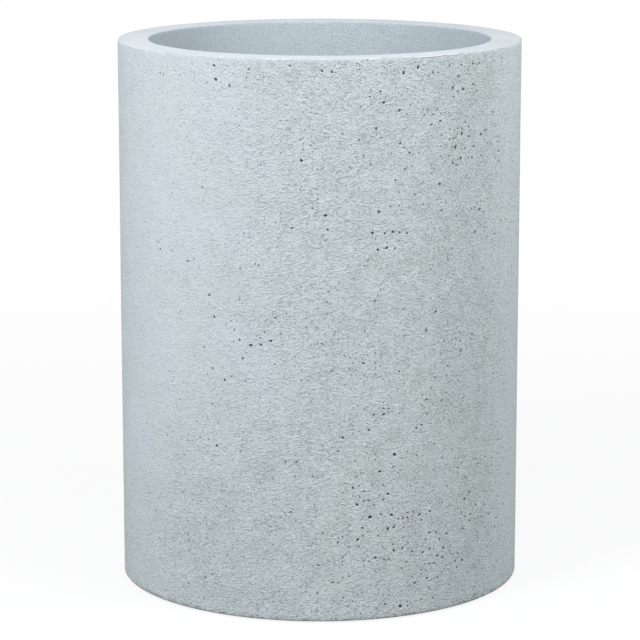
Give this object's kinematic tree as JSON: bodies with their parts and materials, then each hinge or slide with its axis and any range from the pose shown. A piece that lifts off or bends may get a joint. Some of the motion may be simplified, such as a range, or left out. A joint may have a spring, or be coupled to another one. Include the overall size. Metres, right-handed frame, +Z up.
{
  "type": "floor planter",
  "caption": "Tall round fibreglass planter with a stone-look face, a wide return rim, a lift-out plastic liner with swing handles, and a drained floor on rubber pads.",
  "frame": {"origin": "on the ground, under the planter's axis", "axes": "+Z up along the planter's axis, +X towards the right-hand handle, and -Y towards the side that the picture shows"},
  "size_m": [0.52, 0.52, 0.705],
  "materials": {
    "stone_face": "matte",
    "laminate": "matte",
    "black_plastic": "moulded, fine grain",
    "rubber": "matt",
    "zinc_wire": "zinc plated"
  },
  "bodies": {
    "planter": {"outer_shell": "stone_face", "rim_return": "stone_face", "liner_ledge": "laminate", "floor_panel": "laminate", "foot_pad_1": "rubber", "foot_pad_2": "rubber", "foot_pad_3": "rubber", "foot_pad_4": "rubber"},
    "liner": {"liner": "black_plastic"},
    "right_handle": {"handle_wire_right": "zinc_wire", "handle_grip_right": "black_plastic"},
    "left_handle": {"handle_wire_left": "zinc_wire", "handle_grip_left": "black_plastic"},
    "drain_plug_1": {"drain_plug_1": "rubber"},
    "drain_plug_2": {"drain_plug_2": "rubber"},
    "drain_plug_3": {"drain_plug_3": "rubber"}
  },
  "joints": [
    {"name": "liner_lift", "type": "slide", "parent": "planter", "child": "liner", "axis": [0, 0, 1], "range_m": [0, 0.45]},
    {"name": "right_handle_swing", "type": "hinge", "parent": "liner", "child": "right_handle", "pos_m": [0.18099, 0, 0.615], "axis": [0, 1, 0], "range_deg": [-5, 200]},
    {"name": "left_handle_swing", "type": "hinge", "parent": "liner", "child": "left_handle", "pos_m": [-0.18099, 0, 0.615], "axis": [0, -1, 0], "range_deg": [-5, 200]},
    {"name": "drain_plug_1_pull", "type": "slide", "parent": "planter", "child": "drain_plug_1", "axis": [0, 0, 1], "range_m": [0, 0.06]},
    {"name": "drain_plug_2_pull", "type": "slide", "parent": "planter", "child": "drain_plug_2", "axis": [0, 0, 1], "range_m": [0, 0.06]},
    {"name": "drain_plug_3_pull", "type": "slide", "parent": "planter", "child": "drain_plug_3", "axis": [0, 0, 1], "range_m": [0, 0.06]}
  ]
}
